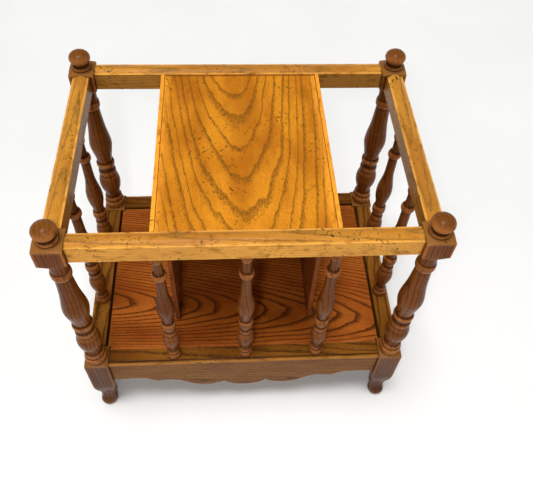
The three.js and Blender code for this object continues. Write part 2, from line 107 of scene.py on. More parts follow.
CORNER_POINTS = 5  # on the curve of a softened corner
CORNER_SUPPORT = 0.7  # from the end of that curve to the point that keeps the face beside it flat
POINTS_A_CORNER = CORNER_POINTS + 2

TONGUE = 5  # length of the table panel's tongues
REBATE_HEIGHT = 4  # height of the steps over the dividers, on the table panel's underside

# The pad foot, as pairs of a radius and a height. The rounding of a square block's top, as pairs of a radius
# and a height over the block. The leg's outer and inner outlines, as shares of the stock from its outer face
# and of the knee's height: each starts straight at the ankle, and two curves with a shared end follow.
PAD_TURNING = [(10.8, 0), (12.4, 3.6), (13, 7.7), (11.8, 11.5), (8.8, PAD_TOP)]
DOME = [(25.5, -BLOCK_DOME), (20.4, -1.3), (13.9, 0)]
LEG_OUTER = (
    [(0.08, 0.12)],
    [(0.11, 0.23), (0.16, 0.36), (0.16, 0.5), (0.11, 0.58)],
    [(0.11, 0.58), (0.05, 0.68), (0, 0.78), (0, 0.91)],
)
LEG_INNER = (
    [(0.74, 0.12)],
    [(0.77, 0.26), (0.78, 0.4), (0.79, 0.52), (0.82, 0.66)],
    [(0.82, 0.66), (0.86, 0.8), (1, 0.86), (1, 1)],
)

# A turning is a stack of features from the bottom up. A ring bulges from its root radius to its crest and
# back. A swell is a smooth curve through pairs of a share of its length and a radius. The swell without a
# length takes up what the others leave.
POST_TURNING = [
    {"length": 15, "root": 13.8, "crest": 16.1},
    {"length": 10, "root": 12.4, "crest": 14},
    {"length": 53, "swell": [
        (0, 11.8), (0.1, 11.4), (0.26, 13.6), (0.43, 16), (0.6, 17), (0.78, 16.2), (1, 13),
    ]},
    {"length": 10, "root": 12.8, "crest": 14},
    {"length": 9, "swell": [(0, 12.4), (0.5, 11.5), (1, 12.4)]},
    {"length": 9, "root": 12.4, "crest": 14.4},
    {"swell": [(0, 11), (0.14, 13.6), (0.31, 17), (0.42, 16.6), (0.56, 14.4), (0.7, 12.5), (1, 10.4)]},
    {"length": 14, "root": 10.8, "crest": 13},
    {"length": 23, "swell": [(0, 11), (0.6, 11.3), (1, 13)]},
]
# The cut from the shaft up to the top block, as pairs of a radius and a depth below the block.
POMMEL = [(14.6, 5), (18.6, 2.4), (22, 1), (25.5, 0)]
SPINDLE_TURNING = [
    {"length": 13, "root": 8.6, "crest": 10.3},
    {"length": 9, "root": 7.4, "crest": 8.8},
    {"length": 46, "swell": [(0, 7.4), (0.12, 7.4), (0.35, 10.2), (0.6, 12), (0.82, 11.2), (1, 8.8)]},
    {"length": 10, "root": 8, "crest": 9.4},
    {"length": 6, "swell": [(0, 7.6), (1, 7.6)]},
    {"length": 17, "root": 8.2, "crest": 10.4},
    {"swell": [
        (0, 7.3), (0.1, 8.8), (0.22, 11.2), (0.32, 12), (0.42, 11.2), (0.55, 8.8), (0.7, 7), (1, 6.6),
    ]},
    {"length": 11, "root": 6.8, "crest": 9.5},
    {"length": 23, "swell": [(0, 6), (0.5, 5.6), (1, 5.8)]},
    {"length": 12, "root": 5.8, "crest": 7.8},
    {"length": 5, "swell": [(0, 6.3), (1, 6.3)]},
]

# Half of a scalloped lower edge, from the leg's end to the middle, in shares of the half length and depths
# below the rail's top. Each stretch starts where the last one ended, and lists its curve's control places and
# its end.
FRONT_SCALLOPS = [
    [(0.786, 54)],
    [(0.73, 54), (0.71, 64), (0.662, 65.5)],
    [(0.59, 59.5), (0.512, 64.5)],
    [(0.455, 71), (0.41, 84.5), (0.305, 84.5)],
    [(0.235, 84.5), (0.2, 79), (0.16, 73.5)],
    [(0.115, 86), (0.05, 88), (0, 88)],
]
SIDE_SCALLOPS = [
    [(0.74, 54)],
    [(0.67, 54), (0.63, 64), (0.57, 65.5)],
    [(0.47, 59.5), (0.38, 64.5)],
    [(0.28, 71), (0.17, 81), (0, 81)],
]
BACK_SCALLOPS = [[(0, 54)]]

# A rail is made along x, turned by quarter turns and moved to its side of the rack.
RAIL_PLACES = {
    "front": (0, (0, -POST_Y, 0)),
    "right": (1, (POST_X, 0, 0)),
    "back": (2, (0, POST_Y, 0)),
    "left": (3, (-POST_X, 0, 0)),
}
RAIL_SCALLOPS = {
    "front": FRONT_SCALLOPS, "right": SIDE_SCALLOPS, "back": BACK_SCALLOPS, "left": SIDE_SCALLOPS,
}
SIDES = {"left": -1, "right": 1, "front": -1, "back": 1}

# Each group of pieces draws its places in the tree, and its dents, from its own run of random seeds.
SEEDS = {
    "post": 100, "spindle": 200, "top_rail_dents": 300, "top_rail": 310, "bottom_rail_dents": 400,
    "bottom_rail": 410, "shelf": 500, "divider": 600, "edge_strip": 700,
}

CAMERA_PLACE = (-0.0211, -0.5513, 0.9690)
CAMERA_TURN = (36.524, -2.172, -3.109)
CAMERA_LENS = 40.78
CAMERA_SENSOR = 36


# --- Properties ---

def colour_property(name, description, default):
    """A colour that the user can change, given as linear red, green and blue."""
    return FloatVectorProperty(
        name=name, description=description, default=default, subtype="COLOR", size=3, min=0, max=1
    )


class RackFinish(bpy.types.PropertyGroup):
    """Stain and lacquer of the rack."""

    table_colour: colour_property("Table top", "Stain of the table top and its strips", (0.60, 0.215, 0.013))
    top_rail_colour: colour_property("Top rails", "Stain of the top rails", (0.50, 0.205, 0.022))
    bottom_rail_colour: colour_property("Bottom rails", "Stain of the bottom rails", (0.235, 0.085, 0.010))
    shelf_colour: colour_property("Shelf", "Stain of the shelf board", (0.38, 0.098, 0.012))
    divider_colour: colour_property("Dividers", "Stain of the upright dividers", (0.20, 0.05, 0.009))
    post_colour: colour_property("Posts", "Stain of the corner posts", (0.185, 0.054, 0.007))
    spindle_colour: colour_property("Spindles", "Stain of the spindles", (0.165, 0.046, 0.006))
    lacquer: FloatProperty(
        name="Lacquer", description="Strength of the clear coat", default=0.3, min=0, max=1, subtype="FACTOR"
    )
    roughness: FloatProperty(
        name="Roughness", description="Roughness of the rubbed surface", default=0.36, min=0, max=1,
        subtype="FACTOR",
    )


class RackShape(bpy.types.PropertyGroup):
    """Softened edges and mesh fineness of the rack."""

    arris: FloatProperty(
        name="Arris", description="Radius of a rubbed edge", default=0.0009, min=0.0002, max=0.003,
        unit="LENGTH", subtype="DISTANCE",
    )
    step: FloatProperty(
        name="Step", description="Distance between mesh rows along a rail", default=0.0018,
        min=0.0005, max=0.01, unit="LENGTH", subtype="DISTANCE",
    )
    dent_depth: FloatProperty(
        name="Dents", description="Depth of the dents knocked into edges", default=0.0005, min=0, max=0.002,
        unit="LENGTH", subtype="DISTANCE",
    )


# --- Curves, as numpy arrays in millimetres ---

def catmull_rom(points, count):
    """Smooth curve through points: between each pair runs the cubic whose slopes at both ends are half the
    difference of their neighbours."""
    p = np.asarray(points, float)
    t = np.linspace(0, len(p) - 1, count)
    i = np.minimum(t.astype(int), len(p) - 2)
    w = (t - i)[:, None]
    before, start, end, after = p[np.maximum(i - 1, 0)], p[i], p[i + 1], p[np.minimum(i + 2, len(p) - 1)]
    slope_0, slope_1 = (end - before) / 2, (after - start) / 2
    cubic = (2 * start - 2 * end + slope_0 + slope_1) * w**3
    square = (3 * end - 3 * start - 2 * slope_0 - slope_1) * w**2
    return cubic + square + slope_0 * w + start


def bezier(points, count):
    """Curve by its control points, each weighted by its Bernstein polynomial."""
    p = np.asarray(points, float)
    n = len(p) - 1
    t = np.linspace(0, 1, count)[:, None]
    return sum(math.comb(n, k) * t**k * (1 - t) ** (n - k) * p[k] for k in range(n + 1))


def arc(centre, radius, start, end, count):
    """Part of a circle between two angles in degrees."""
    angle = np.radians(np.linspace(start, end, count))
    return np.c_[centre[0] + radius * np.cos(angle), centre[1] + radius * np.sin(angle)]


def rounded(corners, radius):
    """Closed outline whose corners are softened: each corner becomes a quadratic curve that starts and ends
    one radius away from it, with one more point beyond each end that keeps the faces beside it flat."""
    corners = np.asarray(corners, float)
    to_last = np.roll(corners, 1, axis=0) - corners
    to_next = np.roll(corners, -1, axis=0) - corners
    pieces = []
    for corner, back, forth in zip(corners, to_last, to_next):
        back_length, forth_length = np.linalg.norm(back), np.linalg.norm(forth)
        reach = min(radius, back_length / 3, forth_length / 3)
        back_unit, forth_unit = back / back_length, forth / forth_length
        ease = min(reach + CORNER_SUPPORT, back_length / 2.2, forth_length / 2.2)
        curve = bezier([corner + back_unit * reach, corner, corner + forth_unit * reach], CORNER_POINTS)
        pieces += [[corner + back_unit * ease], curve, [corner + forth_unit * ease]]
    return np.concatenate(pieces)


def filled_in(outline, step):
    """A closed outline with points added along its longer edges, no more than a step apart."""
    pieces = []
    for start, end in zip(outline, np.roll(outline, -1, axis=0)):
        count = max(1, int(np.ceil(np.linalg.norm(end - start) / step)))
        pieces.append(start + (end - start) * np.linspace(0, 1, count, endpoint=False)[:, None])
    return np.concatenate(pieces)


def turning_profile(turning, start, length):
    """Radius and height along a turning. A ring is half an ellipse that bulges away from the axis, and a
    swell is a Catmull-Rom curve through its pairs."""
    fixed = sum(feature.get("length", 0) for feature in turning)
    pieces, height = [], start
    for feature in turning:
        span = feature.get("length", length - fixed)
        if "swell" in feature:
            share, radius = catmull_rom(feature["swell"], max(6, int(span / 1.3))).T
            pieces.append(np.c_[radius, height + share * span])
        else:
            angle = np.linspace(0, np.pi, 15)
            radius = feature["root"] + (feature["crest"] - feature["root"]) * np.sin(angle)
            pieces.append(np.c_[radius, height + span * (1 - np.cos(angle)) / 2])
        height += span
    profile = np.concatenate(pieces)
    return profile[separate(profile)]


def separate(points, least=0.03):
    """Which points of a curve lie farther than a least distance from the one before them."""
    return np.r_[True, np.hypot(*np.diff(points, axis=0).T) > least]


def crest_and_groove(radius, height, reach=4.0):
    """How far each point of a profile stands above (crest) or below (groove) its own average over a few
    millimetres of the profile, each from 0 to 1."""
    along = np.r_[0, np.cumsum(np.hypot(np.diff(radius), np.diff(height)))]
    weight = np.exp(-(((along[:, None] - along[None, :]) / reach) ** 2))
    average = (weight * radius[None, :]).sum(1) / weight.sum(1)
    stands = (radius - average) / 0.9
    # The crest share is strengthened, as it also paints highlights on the turnings.
    return np.clip(1.5 * stands, 0, 1), np.clip(-stands, 0, 1)


# --- Skins and pieces ---

def quarter_turned(points, quarter_turns):
    """Points turned about the z axis by quarter turns."""
    cosine, sine = round(math.cos(math.pi / 2 * quarter_turns)), round(math.sin(math.pi / 2 * quarter_turns))
    x, y, z = np.moveaxis(points, -1, 0)
    return np.stack([cosine * x - sine * y, sine * x + cosine * y, z], -1)


def dented(rows, seed, count, depth, reach=3.0):
    """Pushes a grid of points in along its normal, by the sum of small bell-shaped dents at random points."""
    random = np.random.default_rng(seed)
    along = np.gradient(rows, axis=0)
    around = (np.roll(rows, -1, axis=1) - np.roll(rows, 1, axis=1)) / 2
    normal = np.cross(around, along)
    normal /= np.maximum(np.linalg.norm(normal, axis=-1, keepdims=True), 1e-9)
    push = np.zeros(rows.shape[:2])
    for _ in range(count):
        centre = rows[random.integers(3, len(rows) - 3), random.integers(rows.shape[1])]
        size = reach * random.uniform(0.5, 1.2)
        push += random.uniform(0.3, 1.0) * np.exp(-((rows - centre) ** 2).sum(-1) / size**2)
    return rows - normal * np.minimum(push, 1.2)[..., None] * depth


def block_of_wood(points, seed, along=2, pith=(38.0, 16.0), tilt=(0.02, 0.03)):
    """Where each point lies in the tree that its piece was cut from: first its place along the trunk, then
    the two distances from the pith across it, in metres. The pith leans a little, so that rings run out."""
    random = np.random.default_rng(seed)
    across = [axis for axis in range(3) if axis != along]
    length = points[..., along]
    one = points[..., across[0]] + pith[0] * random.uniform(0.8, 1.2) + tilt[0] * length
    two = points[..., across[1]] + pith[1] * random.uniform(0.7, 1.3) + tilt[1] * length
    return np.stack([length + random.uniform(0, 900), one, two], -1) * MM


def make_piece(name, rows, grain, finish, material, replaced):
    """A closed mesh over a grid of points: neighbouring rows are joined by quads all round, and the first and
    the last row are closed by flat caps. grain and finish are stored on its points for the material."""
    count, around = rows.shape[:2]
    index = np.arange(count * around).reshape(count, around)
    beside = np.roll(index, -1, axis=1)
    quads = np.stack([index[:-1], beside[:-1], beside[1:], index[1:]], -1).reshape(-1, 4)
    caps = [index[0, ::-1].tolist(), index[-1].tolist()]
    mesh = bpy.data.meshes.new(name)
    mesh.from_pydata((rows.reshape(-1, 3) * MM).tolist(), [], quads.tolist() + caps)
    mesh.polygons.foreach_set("use_smooth", np.r_[np.ones(len(quads), bool), np.zeros(2, bool)])
    for label, values in (("grain", grain), ("finish", finish)):
        attribute = mesh.attributes.new(label, "FLOAT_VECTOR", "POINT")
        attribute.data.foreach_set("vector", np.ascontiguousarray(values, np.float32).ravel())
    mesh.materials.append(material)
    mesh.update()
    piece = bpy.data.objects.new(name, mesh)
    bpy.context.scene.collection.objects.link(piece)
    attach(piece, "root")
    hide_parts(*replaced)


def darkened_joints(finish, places, amount=0.9, reach=1.1):
    """Adds dirt where a rail meets a post: it fades as a bell curve with the distance from either end."""
    end = np.minimum(places - places[0], places[-1] - places)
    finish[..., 2] = np.maximum(finish[..., 2], amount * np.exp(-((end / reach) ** 2))[:, None])


def no_finish(rows):
    """Zero wear and painted highlight, end grain and painted light from above, and dirt and painted shade for
    every point.
    """
    return np.zeros(rows.shape)


# --- Posts and spindles ---

UNCUT = 99.0  # lathe radius where the stock stays square


def column_angles():
    """Angles round a post, in radians: even steps, with extra ones at the four corners of the stock."""
    even = np.linspace(0, 90, 18, endpoint=False)
    corner = 45 + np.array([-6, -3.4, -2, -1, 0, 1, 2, 3.4, 6])
    quadrant = np.unique(np.r_[even[np.abs(even - 45) > 7], corner])
    return np.radians(np.concatenate([quadrant + 90 * k for k in range(4)]))


def square_radius(angle, half, corner):
    """Distance from the centre to a square with rounded corners, in each direction: the side's distance over
    the cosine, or in a corner the far crossing of the ray with the corner's circle."""
    cosine, sine = np.abs(np.cos(angle)), np.abs(np.sin(angle))
    wide, narrow = np.maximum(cosine, sine), np.minimum(cosine, sine)
    core = half - corner
    on_side = half / wide
    in_corner = core * (wide + narrow) + np.sqrt(np.maximum(corner**2 - (core * (wide - narrow)) ** 2, 0))
    return np.where(on_side * narrow > core, in_corner, on_side)


def smooth_min(a, b, blend):
    """The smaller of two values, eased over a blend where they are close."""
    near = np.maximum(blend - np.abs(a - b), 0) / blend
    return np.minimum(a, b) - near**2 * blend / 4


def leg_sides(height):
    """Centre and half width of the leg at each height, read from its outer and inner outlines."""
    def across(outline):
        points = np.concatenate([outline[0], *(bezier(stretch, 24) for stretch in outline[1:])])
        place, up = (points * (POST_SIZE, KNEE_TOP)).T
        return np.interp(height, up, place)

    low, high = across(LEG_OUTER), across(LEG_INNER)
    return (low + high) / 2 - POST_SIZE / 2, (high - low) / 2


def finial_profile():
    """Radius and height of the finial: a half-ellipse ring, then the flattened ball from its neck to its top,
    an ellipse with its own half width and half height."""
    angle = np.linspace(0, np.pi, 13)
    ring = np.c_[
        RING_ROOT_RADIUS + RING_PROUD * np.sin(angle), TOP_BLOCK_TOP + RING_HALF_HEIGHT * (1 - np.cos(angle))
    ]
    centre = POST_TOP - BALL_HALF_HEIGHT
    neck_angle = math.asin(BALL_NECK_RADIUS / BALL_RADIUS)
    angle = np.linspace(neck_angle, np.pi - 0.02, 34)
    ball = np.c_[BALL_RADIUS * np.sin(angle), centre - BALL_HALF_HEIGHT * np.cos(angle)]
    ring_top = ring[-1, 1]
    neck = [[BALL_NECK_RADIUS + 0.3, ring_top + 0.05], [BALL_NECK_RADIUS - 0.2, ring_top + 0.5]]
    return np.concatenate([ring, neck, ball[ball[:, 1] > ring_top + 0.9]])


def post_profile():
    """The whole post from the floor up, as lathe radius, height, whether the stock is square there and how
    much end grain shows, whose pale tone also paints light from above and sheen. Where no lathe has cut, the
    radius is larger than the stock."""
    pad = catmull_rom(PAD_TURNING, 18)
    leg_heights = np.r_[
        np.arange(PAD_TOP + 1, KNEE_TOP + 2, 1.5), np.arange(KNEE_TOP + 4, LEG_HEIGHT - BLOCK_DOME, 4)
    ]
    leg = np.c_[np.full(len(leg_heights), UNCUT), leg_heights]
    dome = bezier(DOME, 20)
    shaft_length = TOP_BLOCK_BOTTOM - LEG_HEIGHT - POMMEL[0][1]
    shaft = turning_profile(POST_TURNING, LEG_HEIGHT, shaft_length)
    pommel = catmull_rom([(radius, TOP_BLOCK_BOTTOM - depth) for radius, depth in POMMEL], 18)
    block_heights = np.arange(TOP_BLOCK_BOTTOM + 1, TOP_BLOCK_TOP - BLOCK_DOME, 2)
    block = np.c_[np.full(len(block_heights), UNCUT), block_heights]
    finial = finial_profile()
    # Each stretch, whether its stock is still square, and its share of end grain and painted light from
    # above.
    stretches, squared, end_grain_and_top_light = zip(
        (pad, False, 0), (leg, True, 0), (dome + (0, LEG_HEIGHT), True, 1),
        (shaft, False, 0), (pommel, True, 0.25), (block, True, 0),
        (dome + (0, TOP_BLOCK_TOP), True, 1), (finial, False, 0.3),
    )
    profile = np.concatenate(stretches)
    lengths = [len(stretch) for stretch in stretches]
    kept = separate(profile)
    radius, height = profile[kept].T
    return radius, height, np.repeat(squared, lengths)[kept], np.repeat(end_grain_and_top_light, lengths)[kept]


def post_rows(side_x, side_y):
    """A post as a grid: at each height the smaller of the lathe's circle and the stock's rounded square,
    about a centre that moves outwards over the ankle and the pad foot. Where ankle and pad meet, it is the
    eased larger of the two. Returns its points and its finish."""
    radius, height, squared, end_grain_and_top_light = post_profile()
    centre, half = leg_sides(height)
    onto_pad = np.clip((PAD_TOP + 10 - height) / PAD_TOP, 0, 1)
    centre = centre + (PAD_OFFSET - centre) * onto_pad**2 * (3 - 2 * onto_pad)
    corner = np.interp(height, [8, 20, 45, 66, KNEE_TOP, LEG_HEIGHT], [6.5, 5, 3.6, 1.8, 1.2, 0.8])
    corner = np.minimum(corner, half - 0.2)
    angle = column_angles()
    square = square_radius(angle[None, :], half[:, None], corner[:, None])
    across = np.where(squared[:, None], smooth_min(radius[:, None], square, 0.7), radius[:, None])
    joined = -smooth_min(-radius[:, None], -square, 1.5)
    across = np.where(((height > 8) & (height < PAD_TOP + 0.5))[:, None], joined, across)
    x = side_x * (POST_X - centre[:, None]) + across * np.cos(angle)
    y = side_y * (POST_Y - centre[:, None]) + across * np.sin(angle)
    rows = np.stack([x, y, np.broadcast_to(height[:, None], x.shape)], -1)

    turned = np.minimum(radius, POST_SIZE / 2)
    crest, groove = crest_and_groove(turned, height)
    reach = half * math.sqrt(2)
    at_corner = np.clip((across - 0.9 * reach[:, None]) / (0.07 * reach[:, None]), 0, 1)
    # Square corners are rubbed, and turned crests get both rub and a painted highlight.
    wear_and_highlight = np.where(squared[:, None], at_corner, crest[:, None])
    clean = squared | (height < PAD_TOP + 2) | (height > POST_TOP - BALL_HALF_HEIGHT)
    # Where there are no grooves, the leg is painted darker towards the floor; above the leg this adds
    # nothing.
    leg_heights = [0, KNEE_TOP, LEG_HEIGHT - BLOCK_DOME, LEG_HEIGHT]
    darker_low_down = np.interp(height, leg_heights, [0.66, 0.55, 0.42, 0])
    dirt_and_shade = np.where(clean, darker_low_down, groove)[:, None] + np.zeros_like(across)
    # End grain shows on the domes, the pommel and the finial; on the domes and the finial its pale tone is
    # also painted light from above and sheen.
    end = np.broadcast_to(end_grain_and_top_light[:, None], across.shape) * (across < radius[:, None] + 0.4)
    return rows, np.stack([wear_and_highlight, end, dirt_and_shade], -1)


def spindle_rows(x, y, low, high):
    """A spindle as a grid: its turning's radius at each height, in every direction."""
    radius, height = turning_profile(SPINDLE_TURNING, low, high - low).T
    angle = np.linspace(0, 2 * np.pi, 44, endpoint=False)
    rows = np.stack([
        x + radius[:, None] * np.cos(angle),
        y + radius[:, None] * np.sin(angle),
        np.broadcast_to(height[:, None], (len(height), len(angle))),
    ], -1)
    crest, groove = crest_and_groove(radius, height)
    flat = np.zeros(rows.shape[:2])
    # Crests get rub and a painted highlight, and grooves hold dirt.
    return rows, np.stack([crest[:, None] + flat, flat, groove[:, None] + flat], -1)


# --- Rails and boards ---

def even_steps(low, high, step):
    """Places from low to high, no more than a step apart."""
    return np.linspace(low, high, max(2, int(np.ceil((high - low) / step)) + 1))


def top_rail_section(half_width, bottom, arris):
    """Section of a top rail: a flat-sided bar with a low segmental crown between two narrow flat edges."""
    half_crown = CROWN_WIDTH / 2
    crown_radius = (half_crown**2 + CROWN_RISE**2) / (2 * CROWN_RISE)
    spread = math.degrees(math.asin(half_crown / crown_radius))
    crown = arc((0, TOP_BLOCK_TOP - crown_radius), crown_radius, 90 - spread, 90 + spread, 21)
    body = rounded([
        (-half_width, bottom), (half_width, bottom),
        (half_width, TOP_RAIL_EDGE), (-half_width, TOP_RAIL_EDGE),
    ], arris)
    split = int(np.argmax((body[:, 1] > TOP_RAIL_EDGE - 1e-6) & (body[:, 0] < half_width - arris - 0.1)))
    return np.concatenate([body[: split + 1], crown, body[split + 1 :]])


def lower_edge(half, scallops, places):
    """Depth of a bottom rail's lower edge below its top at each place along it: the scallops' curves, joined
    and read at the place's distance from the middle."""
    bracket_end = 1 - BRACKET_WIDTH / half
    stretches = [[(1, RAIL_DEPTH), (bracket_end, RAIL_DEPTH)], *scallops]
    start, pieces = (1, BRACKET_DEPTH), []
    for stretch in stretches:
        pieces.append(bezier([start, *stretch], 40 if len(stretch) > 1 else 2))
        start = stretch[-1]
    share, depth = np.concatenate(pieces)[::-1].T
    return np.interp(np.abs(places) / half, share, depth)


def bottom_rail_rows(half, scallops, step, arris):
    """A bottom rail along x as a grid: one section carried along it, with the bead on its outer top edge,
    whose lower end follows the scalloped edge. Returns its points and its finish."""
    ends = half - BRACKET_WIDTH
    near_end = BRACKET_WIDTH * (1 - np.cos(np.linspace(0, np.pi / 2, 14)))
    places = np.unique(np.r_[
        even_steps(-ends, ends, step),
        half - near_end,
        -half + near_end,
        [side * stretch[-1][0] * half for stretch in scallops for side in (-1, 1)],
    ].round(4))
    bottom = BOTTOM_RAIL_TOP - lower_edge(half, scallops, places)
    bead_x, bead_z = -RAIL_OUTSIDE - BEAD_PROUD + BEAD_RADIUS, BOTTOM_RAIL_TOP - BEAD_RADIUS
    quirk = bead_z - BEAD_RADIUS
    top_inside = rounded([
        (RAIL_INSIDE, 90), (RAIL_INSIDE, BOTTOM_RAIL_TOP), (bead_x + 3.6, BOTTOM_RAIL_TOP),
    ], arris)[POINTS_A_CORNER:2 * POINTS_A_CORNER]
    groove = [
        (bead_x + 4.2, BOTTOM_RAIL_TOP), (bead_x + 3.6, BOTTOM_RAIL_TOP - 0.15),
        (bead_x + 3.0, BOTTOM_RAIL_TOP - 1.2), (bead_x + 2.6, BOTTOM_RAIL_TOP - 1.5),
    ]
    bead = arc((bead_x, bead_z), BEAD_RADIUS, 30, 252, 22)
    under_bead = [
        (-RAIL_OUTSIDE + 1, quirk - 0.2), (-RAIL_OUTSIDE + 0.3, quirk - 0.7),
        (-RAIL_OUTSIDE, quirk - 1.1), (-RAIL_OUTSIDE, quirk - 2),
    ]
    flat_top = [(0, BOTTOM_RAIL_TOP), (-5, BOTTOM_RAIL_TOP)]
    upper = np.concatenate([top_inside, flat_top, groove, bead, under_bead])
    share = np.linspace(0, 1, 10)[1:-1]
    top_inner, top_outer = upper[0, 1], upper[-1, 1]
    count = len(places)

    def column(across, heights):
        return np.stack([places, np.full(count, float(across)), heights], -1)

    soft = arris * 0.9
    outer_side = [column(-RAIL_OUTSIDE, top_outer + (bottom + soft + 1 - top_outer) * s) for s in share]
    inner_side = [column(RAIL_INSIDE, bottom + soft + 1 + (top_inner - bottom - soft - 1) * s) for s in share]
    under = [
        (-RAIL_OUTSIDE, soft + 1), (-RAIL_OUTSIDE, soft), (-RAIL_OUTSIDE + 0.3 * soft, 0.3 * soft),
        (-RAIL_OUTSIDE + soft, 0), (-RAIL_OUTSIDE + soft + 1, 0), (-RAIL_OUTSIDE / 3, 0),
        (RAIL_INSIDE / 3, 0), (RAIL_INSIDE - soft - 1, 0), (RAIL_INSIDE - soft, 0),
        (RAIL_INSIDE - 0.3 * soft, 0.3 * soft), (RAIL_INSIDE, soft), (RAIL_INSIDE, soft + 1),
    ]
    lower = [column(across, bottom + rise) for across, rise in under]
    crown = [column(across, np.full(count, height)) for across, height in upper]
    rows = np.stack([*lower, *inner_side, *crown, *outer_side], 1)

    # The bead is worn along its middle, the grooves beside it hold dirt, and the lower edges are worn.
    finish = no_finish(rows)
    bead_end = len(lower) + len(inner_side) + len(upper) - len(under_bead)
    bead_start = bead_end - len(bead)
    finish[:, bead_start:bead_end, 0] = np.sin(np.linspace(0, np.pi, len(bead))) ** 2
    finish[:, bead_start - len(groove):bead_start, 2] = (0.3, 1, 1, 0.8)
    finish[:, bead_end - 2:bead_end + len(under_bead), 2] = (0.6, 1, 1, 1, 0.7, 0.2)
    finish[:, 1:4, 0] = 0.8
    finish[:, 8:11, 0] = 0.5
    darkened_joints(finish, places)
    return rows, finish


def edge_wear(section, radius=2.2):
    """How near each point of a closed section is to a corner, from 0 to 1, by the turn of the outline there
    spread over a couple of millimetres."""
    back = section - np.roll(section, 1, axis=0)
    forth = np.roll(section, -1, axis=0) - section
    turn = np.arctan2(back[:, 0] * forth[:, 1] - back[:, 1] * forth[:, 0], (back * forth).sum(1))
    distance = np.linalg.norm(section[:, None] - section[None, :], axis=-1)
    spread = (np.maximum(turn, 0)[None, :] * np.exp(-((distance / radius) ** 2))).sum(1)
    return np.clip(spread / (np.pi / 2), 0, 1)


def swept(section, places):
    """A section in y and z carried along x: the same outline at every place."""
    rows = np.empty((len(places), len(section), 3))
    rows[..., 0] = places[:, None]
    rows[..., 1:] = section[None]
    return rows


def edge_finish(rows, section):
    """Wear on the corners of a swept section, the same all along it."""
    finish = no_finish(rows)
    finish[..., 0] = edge_wear(section)[None, :]
    return finish


def softened_ends(low, high, arris, step):
    """Places along a board with close rows at both ends, and how far each end row is drawn in, so that the
    ends are softened like the other edges."""
    ease = arris * (1 - np.cos(np.linspace(0, np.pi / 2, 4)))
    drawn_in = arris * (1 - np.sin(np.linspace(0, np.pi / 2, 4)))
    middle = even_steps(low + 4, high - 4, step)
    places = np.r_[low + ease, low + arris + 0.8, middle, high - arris - 0.8, high - ease[::-1]]
    inset = np.r_[drawn_in, np.zeros(len(places) - 2 * len(ease)), drawn_in[::-1]]
    return places, inset


def board_rows(low, high, along, arris, step):
    """A board between two corners as a grid: a rectangle with softened corners carried along one axis, drawn
    in at both ends. Returns its points and its finish."""
    first, second = (along + 1) % 3, (along + 2) % 3
    a0, a1, b0, b1 = low[first], high[first], low[second], high[second]
    section = rounded([(a0, b0), (a1, b0), (a1, b1), (a0, b1)], arris)
    section = filled_in(section, max(a1 - a0, b1 - b0) / 12)
    places, inset = softened_ends(low[along], high[along], arris, step)
    middle = np.array([(a0 + a1) / 2, (b0 + b1) / 2])
    half = np.array([(a1 - a0) / 2, (b1 - b0) / 2])
    share = 1 - inset[:, None] / half[None, :]
    drawn = middle + (section - middle)[None] * share[:, None, :]
    rows = np.empty((len(places), len(section), 3))
    rows[..., along] = places[:, None]
    rows[..., [first, second]] = drawn
    return rows, edge_finish(rows, section)


def notched_board_rows(low, high, notch, arris, step):
    """A board along x, notched at its corners, as a grid: a softened rectangle of y and z carried along x,
    whose front and back sides lie at the notches' depth near both ends. Returns its points and its finish."""
    section = rounded([(low[1], low[2]), (high[1], low[2]), (high[1], high[2]), (low[1], high[2])], arris)
    section = filled_in(section, 9)
    places, _ = softened_ends(low[0], high[0], arris, step)
    places = np.unique(np.r_[places, -notch[0], -notch[0] + 0.01, notch[0] - 0.01, notch[0]])
    rows = swept(section, places)
    narrow = (np.abs(places) > notch[0] - 0.005)[:, None]
    back = narrow & (section[:, 0] > notch[1] - 6)[None, :]
    front = narrow & (section[:, 0] < 6 - notch[1])[None, :]
    rows[..., 1] += np.where(back, notch[1] - high[1], 0) + np.where(front, -notch[1] - low[1], 0)
    return rows, edge_finish(rows, section)


# --- Materials ---

